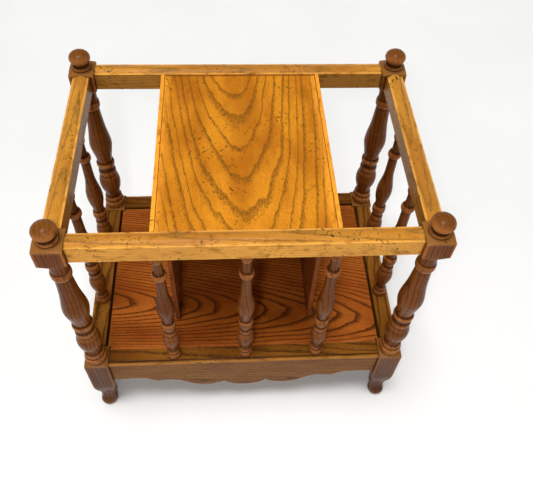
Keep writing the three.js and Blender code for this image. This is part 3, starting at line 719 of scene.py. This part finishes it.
class Recipe:
    """A material under construction: short calls that add shader nodes and join them."""

    def __init__(self, name):
        self.material = bpy.data.materials.new(name)
        self.material.use_nodes = True
        self.tree = self.material.node_tree
        self.tree.nodes.clear()

    def node(self, kind, inputs, **settings):
        """Adds a node, with its settings and its inputs, each a value or another node's output."""
        added = self.tree.nodes.new(kind)
        for setting, value in settings.items():
            setattr(added, setting, value)
        for socket, value in inputs.items():
            if isinstance(value, bpy.types.NodeSocket):
                self.tree.links.new(value, added.inputs[socket])
            else:
                added.inputs[socket].default_value = value
        return added

    def attribute(self, name):
        """Values that are stored on a piece's points."""
        return self.node("ShaderNodeAttribute", {}, attribute_name=name).outputs["Vector"]

    def split(self, vector):
        return self.node("ShaderNodeSeparateXYZ", {0: vector}).outputs

    def scaled(self, vector, scale):
        return self.node("ShaderNodeVectorMath", {0: vector, 1: scale}, operation="MULTIPLY").outputs[0]

    def moved(self, vector, offset):
        return self.node("ShaderNodeVectorMath", {0: vector, 1: offset}, operation="ADD").outputs[0]

    def length(self, vector):
        return self.node("ShaderNodeVectorMath", {0: vector}, operation="LENGTH").outputs["Value"]

    def turned(self, vector, angle):
        """A vector turned about its third axis."""
        inputs = {"Vector": vector, "Angle": angle}
        return self.node("ShaderNodeVectorRotate", inputs, rotation_type="Z_AXIS").outputs[0]

    def noise(self, vector, detail=2.0, roughness=0.5, colour=False):
        inputs = {"Vector": vector, "Scale": 1.0, "Detail": detail, "Roughness": roughness}
        return self.node("ShaderNodeTexNoise", inputs).outputs["Color" if colour else 0]

    def math(self, operation, a, b=0.0, clamp=False):
        return self.node("ShaderNodeMath", {0: a, 1: b}, operation=operation, use_clamp=clamp).outputs[0]

    def ranged(self, value, low, high, to_low=0.0, to_high=1.0):
        """A value carried smoothly from one range to another, and held at its ends."""
        inputs = {"Value": value, "From Min": low, "From Max": high, "To Min": to_low, "To Max": to_high}
        return self.node("ShaderNodeMapRange", inputs, interpolation_type="SMOOTHSTEP").outputs[0]

    def mixed(self, share, a, b):
        """Two colours mixed by a share."""
        inputs = {0: share, 6: a, 7: b}
        return self.node("ShaderNodeMix", inputs, data_type="RGBA").outputs[2]


def darker(colour, share, tint=(1, 1, 1)):
    """A colour times a share and a tint, with alpha."""
    return (*(c * share * t for c, t in zip(colour, tint)), 1.0)


def oak(
    name, colour, finish, ring=8.0, pores=1.0, marks=0.0, band_share=0.55, band_tone=0.5, shine=1.0, rub_and_highlight=0.5,
    on_object=False,
):
    """Stained and lacquered oak. Yearly rings lie round the pith of each piece's own block: each starts with
    a dense band of open pores that thins out. Fine fibres, blotches of stain and dark marks lie over them,
    then dirt in the grooves and joints, painted shade on faces that lie in shadow, darkening towards the
    floor, rubbed edges with painted highlights on turned crests, and end grain whose pale tone also paints
    light from above and sheen. ring is the width of a year in millimetres. pores, marks and shine are shares
    of those effects, the rub share is that of the rubbed edges and painted highlights, and band_share and
    band_tone say how strong and how dark the bands are. A kept CAD piece has no stored values, so on_object
    reads its coordinates."""
    r = Recipe(name)
    if on_object:
        grain = r.node("ShaderNodeTexCoord", {}).outputs["Object"]
        wear_and_highlight = end = dirt_and_shade = 0.0
    else:
        grain = r.attribute("grain")
        wear_and_highlight, end, dirt_and_shade = r.split(r.attribute("finish"))[:3]
    # Rings wander broadly and finely, and years differ in width.
    wander = r.noise(r.scaled(grain, (7, 26, 26)), detail=2.0, colour=True)
    wobble = r.scaled(r.moved(wander, (-0.5, -0.5, -0.5)), (0, 1.2 * ring * MM, 1.2 * ring * MM))
    fine = r.noise(r.scaled(grain, (40, 160, 160)), detail=2.0, colour=True)
    ragged = r.scaled(r.moved(fine, (-0.5, -0.5, -0.5)), (0, 0.26 * ring * MM, 0.26 * ring * MM))
    wood = r.moved(r.moved(grain, wobble), ragged)
    radius = r.length(r.scaled(wood, (0, 1, 1)))
    outwards = r.node("ShaderNodeCombineXYZ", {0: radius}).outputs[0]
    uneven = r.noise(r.scaled(outwards, (55, 55, 55)), detail=1.0)
    years = r.math("ADD", r.math("DIVIDE", radius, ring * MM), r.math("MULTIPLY", uneven, 1.6))
    phase = r.math("FRACT", years)
    early = r.math("MULTIPLY", r.ranged(phase, 0.0, 0.05), r.ranged(phase, 0.06, 0.46, 1.0, 0.0))

    # Pores are long and thin, and crowd together early in the year.
    holes = r.noise(r.scaled(wood, (150, 1150, 1150)), detail=1.0)
    crowding = r.math("ADD", holes, r.math("MULTIPLY", early, 0.27))
    pore = r.ranged(crowding, 0.63, 0.74)
    fibres = r.noise(r.scaled(wood, (22, 900, 900)), detail=3.0, roughness=0.6)
    blotch = r.noise(r.scaled(grain, (9, 24, 24)), detail=3.0)

    # The colour from the body outwards: stain, bands, pores, fibres, rubbed edges with painted highlights,
    # end grain with painted light from above, dirt with painted shade, and marks.
    pale = darker(colour, 1.18, (1, 1.06, 1.1))
    deep = darker(colour, 0.72, (1, 0.86, 0.8))
    band = darker(colour, band_tone, (0.95, 1.0, 1.35))
    pore_colour = darker(colour, 0.20, (0.95, 1.15, 1.9))
    body = r.mixed(r.ranged(blotch, 0.32, 0.68), pale, deep)
    body = r.mixed(r.math("MULTIPLY", early, band_share), body, band)
    body = r.mixed(r.math("MULTIPLY", pore, 0.75 * pores), body, pore_colour)
    body = r.mixed(r.ranged(fibres, 0.35, 0.65, 0.34, 0.0), body, deep)
    # Rubbed edges, and on turned crests a painted highlight, mix in a pale pinkish grey.
    rubbed_and_highlight = r.math("MULTIPLY", wear_and_highlight, r.ranged(r.noise(r.scaled(grain, (60, 140, 140)), 3.0), 0.25, 0.52))
    body = r.mixed(r.math("MULTIPLY", rubbed_and_highlight, rub_and_highlight), body, darker(colour, 2.4, (1.0, 1.2, 2.2)))
    # End grain is lightened to a pale grey, which on the block tops and the finial also paints the light from
    # above and the finial's sheen.
    body = r.mixed(r.math("MULTIPLY", end, 0.7), body, darker(colour, 1.5, (1.1, 1.6, 2.8)))
    # Dirt in grooves and joints, painted shade on shaded faces, and the darkening towards the floor all mix
    # in this dark colour.
    body = r.mixed(r.math("MULTIPLY", dirt_and_shade, 0.72), body, darker(colour, 0.13, (1, 0.9, 1.1)))
    mark = 0.0
    if marks > 0:
        mark = knocked_marks(r, grain, marks)
        body = r.mixed(mark, body, darker(colour, 0.10, (0.9, 1.3, 2.6)))

    # The lacquer is smeared, dull in the pores, and sinks a little into pores and marks.
    grit = r.math("MULTIPLY", pore, 0.22)
    smear = r.noise(r.scaled(grain, (30, 70, 70)), detail=4.0)
    gloss = r.math("ADD", grit, r.ranged(smear, 0.3, 0.7, finish.roughness - 0.09, finish.roughness + 0.09))
    height = r.math("SUBTRACT", r.math("MULTIPLY", fibres, 0.25), r.math("MULTIPLY", pore, 0.6))
    height = r.math("SUBTRACT", height, mark)
    bump = r.node("ShaderNodeBump", {"Height": height, "Strength": 0.45, "Distance": 0.00035})
    shader = r.node("ShaderNodeBsdfPrincipled", {
        "Base Color": body,
        "Roughness": gloss,
        "Normal": bump.outputs[0],
        "Specular IOR Level": 0.03,
        "Coat Weight": min(finish.lacquer * shine, 1.0),
        "Coat Roughness": 0.18,
        "Coat IOR": 1.17,
    })
    r.node("ShaderNodeOutputMaterial", {"Surface": shader.outputs[0]})
    return r.material


def knocked_marks(r, grain, amount):
    """Short dark scratches in two directions and small specks, gathered in patches."""
    gathered = r.ranged(r.noise(r.scaled(grain, (26, 26, 26)), detail=2.0), 0.48, 0.62)
    marks = None
    for angle, seed in ((0.7, 3.1), (-0.9, 7.7)):
        leaning = r.moved(r.turned(grain, angle), (seed, seed, seed))
        scratch = r.ranged(r.noise(r.scaled(leaning, (110, 420, 260)), detail=1.5), 0.66, 0.70)
        marks = scratch if marks is None else r.math("MAXIMUM", marks, scratch)
    marks = r.math("MULTIPLY", marks, gathered)
    specks = r.ranged(r.noise(r.scaled(grain, (420, 420, 420)), detail=0.0), 0.80, 0.84)
    return r.math("MULTIPLY", r.math("MAXIMUM", marks, specks, clamp=True), amount)


def turned_steel(name):
    """Plain steel with fine rings of tool marks."""
    r = Recipe(name)
    place = r.node("ShaderNodeTexCoord", {}).outputs["Object"]
    rings = r.noise(r.scaled(place, (2400, 90, 90)), detail=2.0)
    tone = r.mixed(r.ranged(rings, 0.3, 0.7), (0.42, 0.40, 0.37, 1), (0.58, 0.56, 0.53, 1))
    gloss = r.ranged(rings, 0.3, 0.7, 0.28, 0.46)
    shader = r.node("ShaderNodeBsdfPrincipled", {"Base Color": tone, "Roughness": gloss, "Metallic": 1.0})
    r.node("ShaderNodeOutputMaterial", {"Surface": shader.outputs[0]})
    return r.material


def floor_paper(name):
    """Pale matt studio floor with a faint mottle."""
    r = Recipe(name)
    place = r.node("ShaderNodeTexCoord", {}).outputs["Object"]
    mottle = r.noise(r.scaled(place, (3, 3, 3)), detail=3.0)
    tone = r.mixed(r.ranged(mottle, 0.3, 0.7), (0.84, 0.84, 0.83, 1), (0.87, 0.87, 0.86, 1))
    shader = r.node("ShaderNodeBsdfPrincipled", {"Base Color": tone, "Roughness": 0.9})
    r.node("ShaderNodeOutputMaterial", {"Surface": shader.outputs[0]})
    return r.material


# --- Operators: one for each piece or group of like pieces ---

class RACK_OT_posts(bpy.types.Operator):
    """Make the four corner posts"""

    bl_idname = "rack.posts"
    bl_label = "Posts"

    def execute(self, context):
        finish = context.scene.rack_finish
        material = oak(
            "post_oak", finish.post_colour, finish, ring=5.0, pores=0.7, marks=0.6, band_share=0.5,
            band_tone=0.3, shine=1.8, rub_and_highlight=0.75,
        )
        corners = [(end, side) for end in ("front", "back") for side in ("left", "right")]
        for number, (end, side) in enumerate(corners):
            name = f"post_{end}_{side}"
            rows, finish_and_painted_light = post_rows(SIDES[side], SIDES[end])
            local = rows - (SIDES[side] * POST_X, SIDES[end] * POST_Y, 0)
            grain = block_of_wood(local, SEEDS["post"] + number, pith=(30, 22), tilt=(0.02, -0.03))
            make_piece(f"{name}_oak", rows, grain, finish_and_painted_light, material, [name])
        return {"FINISHED"}


class RACK_OT_spindles(bpy.types.Operator):
    """Make the turned spindles between the rails"""

    bl_idname = "rack.spindles"
    bl_label = "Spindles"

    def execute(self, context):
        finish = context.scene.rack_finish
        material = oak(
            "spindle_oak", finish.spindle_colour, finish, ring=4.6, pores=0.7, marks=0.5, band_share=0.4,
            shine=1.8, rub_and_highlight=0.75,
        )
        low, high = BOTTOM_RAIL_TOP + FIT_GAP, TOP_RAIL_LOW[2] - FIT_GAP
        names = sorted(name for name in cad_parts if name.startswith("spindle_"))
        if not names:
            raise RuntimeError("The frame has no spindles")
        for number, name in enumerate(names):
            corner_low, corner_high = node_box(name)
            x, y = (corner_low[:2] + corner_high[:2]) / 2
            rows, finish_and_painted_light = spindle_rows(x, y, low, high)
            seed = SEEDS["spindle"] + number
            grain = block_of_wood(rows - (x, y, 0), seed, pith=(24, 18), tilt=(0.03, 0.02))
            make_piece(f"{name}_oak", rows, grain, finish_and_painted_light, material, [name])
        return {"FINISHED"}


class RACK_OT_top_rails(bpy.types.Operator):
    """Make the four crowned top rails"""

    bl_idname = "rack.top_rails"
    bl_label = "Top Rails"

    def execute(self, context):
        finish, shape = context.scene.rack_finish, context.scene.rack_shape
        arris, step, depth = shape.arris / MM, shape.step / MM, shape.dent_depth / MM
        material = oak(
            "top_rail_oak", finish.top_rail_colour, finish, ring=4.4, pores=0.9, marks=1.0, band_share=0.4
        )
        half_width = (TOP_RAIL_HIGH[1] - TOP_RAIL_LOW[1]) / 2
        section = top_rail_section(half_width, TOP_RAIL_LOW[2], arris)
        for number, (side, (turns, place)) in enumerate(RAIL_PLACES.items()):
            name = f"top_rail_{side}"
            half = node_box(name)[1][turns % 2]
            places = np.r_[-half, -half + 0.7, even_steps(-half + 1.5, half - 1.5, step), half - 0.7, half]
            straight = swept(section, places)
            finish_and_painted_light = edge_finish(straight, section)
            # The inner faces are painted darker through the dirt channel, as painted shade for faces that lie
            # in shadow.
            shaded_inner_face = (section[:, 0] > half_width - 0.4) & (section[:, 1] < TOP_RAIL_EDGE - 1)
            finish_and_painted_light[..., 2] = 0.6 * shaded_inner_face
            darkened_joints(finish_and_painted_light, places)
            straight = dented(straight, SEEDS["top_rail_dents"] + number, int(half / 9), depth)
            from_bottom = straight - (0, 0, TOP_RAIL_LOW[2])
            grain = block_of_wood(from_bottom, SEEDS["top_rail"] + number, along=0, pith=(16, 34))
            rows = quarter_turned(straight, turns) + place
            make_piece(f"{name}_oak", rows, grain, finish_and_painted_light, material, [name])
        return {"FINISHED"}


class RACK_OT_bottom_rails(bpy.types.Operator):
    """Make the four beaded and scalloped bottom rails"""

    bl_idname = "rack.bottom_rails"
    bl_label = "Bottom Rails"

    def execute(self, context):
        finish, shape = context.scene.rack_finish, context.scene.rack_shape
        arris, step, depth = shape.arris / MM, shape.step / MM, shape.dent_depth / MM
        material = oak(
            "bottom_rail_oak", finish.bottom_rail_colour, finish, ring=5.6, marks=0.7, band_share=0.65,
            band_tone=0.4,
        )
        for number, (side, (turns, place)) in enumerate(RAIL_PLACES.items()):
            name = f"bottom_rail_{side}"
            half = node_box(name)[1][turns % 2]
            straight, finish_and_painted_light = bottom_rail_rows(half, RAIL_SCALLOPS[side], step, arris)
            straight = dented(straight, SEEDS["bottom_rail_dents"] + number, int(half / 16), depth)
            seed = SEEDS["bottom_rail"] + number
            grain = block_of_wood(straight, seed, along=0, pith=(34, -60), tilt=(0.04, 0.03))
            rows = quarter_turned(straight, turns) + place
            make_piece(f"{name}_oak", rows, grain, finish_and_painted_light, material, [name])
        return {"FINISHED"}


class RACK_OT_shelf(bpy.types.Operator):
    """Make the shelf board"""

    bl_idname = "rack.shelf"
    bl_label = "Shelf"

    def execute(self, context):
        finish, shape = context.scene.rack_finish, context.scene.rack_shape
        low, high = node_box("shelf")
        notch = POST_X - POST_SIZE / 2 - 1, POST_Y - POST_SIZE / 2 - 1
        rows, finish_and_painted_light = notched_board_rows(low, high, notch, shape.arris / MM, 5)
        from_top = rows - (0, 0, high[2])
        grain = block_of_wood(from_top, SEEDS["shelf"], along=0, pith=(70, 46), tilt=(0.10, 0.12))
        material = oak(
            "shelf_oak", finish.shelf_colour, finish, ring=4.2, pores=1.2, marks=0.4, band_share=1.0,
            band_tone=0.2,
        )
        make_piece("shelf_oak", rows, grain, finish_and_painted_light * (0.6, 1, 1), material, ["shelf"])
        return {"FINISHED"}


class RACK_OT_dividers(bpy.types.Operator):
    """Make the two upright dividers"""

    bl_idname = "rack.dividers"
    bl_label = "Dividers"

    def execute(self, context):
        finish, shape = context.scene.rack_finish, context.scene.rack_shape
        material = oak("divider_oak", finish.divider_colour, finish, ring=6.0, marks=0.2, band_tone=0.3)
        for number, name in enumerate(("divider_left", "divider_right")):
            low, high = node_box(name)
            rows, finish_and_painted_light = board_rows(low, high, 2, shape.arris / MM, 20)
            local = rows - (low + high) / 2
            grain = block_of_wood(local, SEEDS["divider"] + number, pith=(46, 12), tilt=(0.10, 0.05))
            make_piece(f"{name}_oak", rows, grain, finish_and_painted_light, material, [name])
        return {"FINISHED"}


class RACK_OT_table_top(bpy.types.Operator):
    """Make the table panel with its tongues, and the strips along its sides"""

    bl_idname = "rack.table_top"
    bl_label = "Table Top"

    def execute(self, context):
        finish, shape = context.scene.rack_finish, context.scene.rack_shape
        arris = shape.arris / MM
        low, high = node_box("table_top")
        divider_inner = node_box("divider_right")[0][0] - FIT_GAP
        rebate_top = low[2] + REBATE_HEIGHT + FIT_GAP
        middle = (low[2] + high[2]) / 2
        # The section lies in -x and z, so that the panel's rows run along +y.
        section = filled_in(rounded([
            (-divider_inner, low[2]), (divider_inner, low[2]),
            (divider_inner, rebate_top), (high[0], rebate_top),
            (high[0], high[2]), (-high[0], high[2]),
            (-high[0], rebate_top), (-divider_inner, rebate_top),
        ], arris * 0.7), 9)
        # Each tongue is the section thinned about its middle, between the panel's end and its shoulder.
        shoulder = high[1] - TONGUE
        between = even_steps(-shoulder + 3, shoulder - 3, 12)
        places = np.r_[low[1], -shoulder, -shoulder, between, shoulder, shoulder, high[1]]
        shares = np.ones(len(places))
        shares[[0, 1, -2, -1]] = TONGUE / (high[2] - low[2])
        straight = swept(section, places)
        straight[..., 2] = middle + (straight[..., 2] - middle) * shares[:, None]
        finish_and_painted_light = edge_finish(straight, section) * (0.7, 1, 1)
        rows = quarter_turned(straight, 1)
        # The pith lies below the panel and rises towards the back, so that the rings make a cathedral figure.
        x, y, z = np.moveaxis(rows - (0, 0, high[2]), -1, 0)
        grain = np.stack([y + 400, x + 6 + 0.05 * y, 62 - 0.17 * y + z], -1) * MM
        material = oak(
            "table_oak", finish.table_colour, finish, ring=8.6, pores=0.9, marks=0.9, band_share=0.42
        )
        make_piece("table_top_oak", rows, grain, finish_and_painted_light, material, ["table_top"])
        for number, name in enumerate(("edge_strip_left", "edge_strip_right")):
            low, high = node_box(name)
            rows, finish_and_painted_light = board_rows(low, high, 1, arris * 1.2, 8)
            local = rows - (low + high) / 2
            grain = block_of_wood(local, SEEDS["edge_strip"] + number, along=1, pith=(30, 12))
            make_piece(f"{name}_oak", rows, grain, finish_and_painted_light, material, [name])
        return {"FINISHED"}


class RACK_OT_joinery(bpy.types.Operator):
    """Finish the hidden dowels, battens and screws"""

    bl_idname = "rack.joinery"
    bl_label = "Hidden Joinery"

    def execute(self, context):
        finish = context.scene.rack_finish
        plain = oak("plain_wood", (0.06, 0.028, 0.010), finish, ring=3.0, pores=0.6, on_object=True)
        steel = turned_steel("steel")
        for name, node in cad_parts.items():
            if name.startswith(("dowel_", "batten_")):
                node.data.materials.clear()
                node.data.materials.append(steel if "screw" in name else plain)
        return {"FINISHED"}


def studio_floor(reach=5.0, sweep=2.5, wall=3.5, around=64):
    """Points, edges and faces of a round floor that sweeps up into a wall: a flat disc, then a quarter circle
    of the sweep's radius, then a straight wall."""
    angle = np.linspace(0, np.pi / 2, 16)
    radius = np.r_[0.02, 1, reach, reach + sweep * np.sin(angle[1:]), reach + sweep]
    height = np.r_[0, 0, 0, sweep * (1 - np.cos(angle[1:])), wall]
    turn = np.linspace(0, 2 * np.pi, around, endpoint=False)
    points = np.stack([
        radius[:, None] * np.cos(turn),
        radius[:, None] * np.sin(turn),
        np.broadcast_to(height[:, None], (len(radius), around)),
    ], -1)
    index = np.arange(len(radius) * around).reshape(len(radius), around)
    beside = np.roll(index, -1, axis=1)
    quads = np.stack([index[:-1], index[1:], beside[1:], beside[:-1]], -1).reshape(-1, 4)
    return points.reshape(-1, 3).tolist(), [], [index[0].tolist(), *quads.tolist()]


class RACK_OT_stage(bpy.types.Operator):
    """Make the floor, the lights and the camera"""

    bl_idname = "rack.stage"
    bl_label = "Stage"

    def execute(self, context):
        scene = context.scene
        mesh = bpy.data.meshes.new("floor")
        mesh.from_pydata(*studio_floor())
        mesh.polygons.foreach_set("use_smooth", np.ones(len(mesh.polygons), bool))
        mesh.materials.append(floor_paper("floor_paper"))
        floor = bpy.data.objects.new("floor", mesh)
        scene.collection.objects.link(floor)

        world = bpy.data.worlds.new("studio")
        world.use_nodes = True
        background = world.node_tree.nodes["Background"].inputs
        background["Color"].default_value = (1.0, 0.98, 0.95, 1)
        background["Strength"].default_value = 0.08
        scene.world = world
        scene.view_settings.view_transform = "Standard"

        sun = bpy.data.lights.new("overhead", "SUN")
        sun.energy = 2.8
        sun.angle = math.radians(24)
        lamp = bpy.data.objects.new("overhead", sun)
        lamp.rotation_euler = (math.radians(4), math.radians(-5), 0)
        scene.collection.objects.link(lamp)
        for name, place, turn, size, power in (
            ("near_camera", (-0.10, -0.66, 1.10), (38, -6, 0), 0.06, 2.8),
            ("front_fill", (-0.9, -1.5, 0.9), (62, -30, 0), 0.6, 1.5),
        ):
            light = bpy.data.lights.new(name, "AREA")
            light.size = size
            light.energy = power
            lamp = bpy.data.objects.new(name, light)
            lamp.location = place
            lamp.rotation_euler = [math.radians(angle) for angle in turn]
            scene.collection.objects.link(lamp)

        camera = bpy.data.objects.new("camera", bpy.data.cameras.new("camera"))
        camera.data.lens = CAMERA_LENS
        camera.data.sensor_width = CAMERA_SENSOR
        camera.location = CAMERA_PLACE
        camera.rotation_euler = [math.radians(angle) for angle in CAMERA_TURN]
        scene.collection.objects.link(camera)
        scene.camera = camera
        return {"FINISHED"}


PIECE_OPERATORS = (
    RACK_OT_posts,
    RACK_OT_spindles,
    RACK_OT_top_rails,
    RACK_OT_bottom_rails,
    RACK_OT_shelf,
    RACK_OT_dividers,
    RACK_OT_table_top,
    RACK_OT_joinery,
    RACK_OT_stage,
)


class RACK_PT_panel(bpy.types.Panel):
    """Lists the rack's settings and its operators"""

    bl_idname = "RACK_PT_panel"
    bl_label = "Oak Magazine Rack"
    bl_space_type = "VIEW_3D"
    bl_region_type = "UI"
    bl_category = "Rack"

    def draw(self, context):
        for group in (context.scene.rack_finish, context.scene.rack_shape):
            for name in group.__annotations__:
                self.layout.prop(group, name)
        for operator in PIECE_OPERATORS:
            self.layout.operator(operator.bl_idname)


CLASSES = (RackFinish, RackShape, *PIECE_OPERATORS, RACK_PT_panel)


def register():
    for kind in CLASSES:
        bpy.utils.register_class(kind)
    bpy.types.Scene.rack_finish = PointerProperty(type=RackFinish)
    bpy.types.Scene.rack_shape = PointerProperty(type=RackShape)


def unregister():
    del bpy.types.Scene.rack_shape
    del bpy.types.Scene.rack_finish
    for kind in reversed(CLASSES):
        bpy.utils.unregister_class(kind)


def main():
    register()
    for operator in PIECE_OPERATORS:
        group, name = operator.bl_idname.split(".")
        getattr(getattr(bpy.ops, group), name)()


if __name__ == "__main__":
    main()
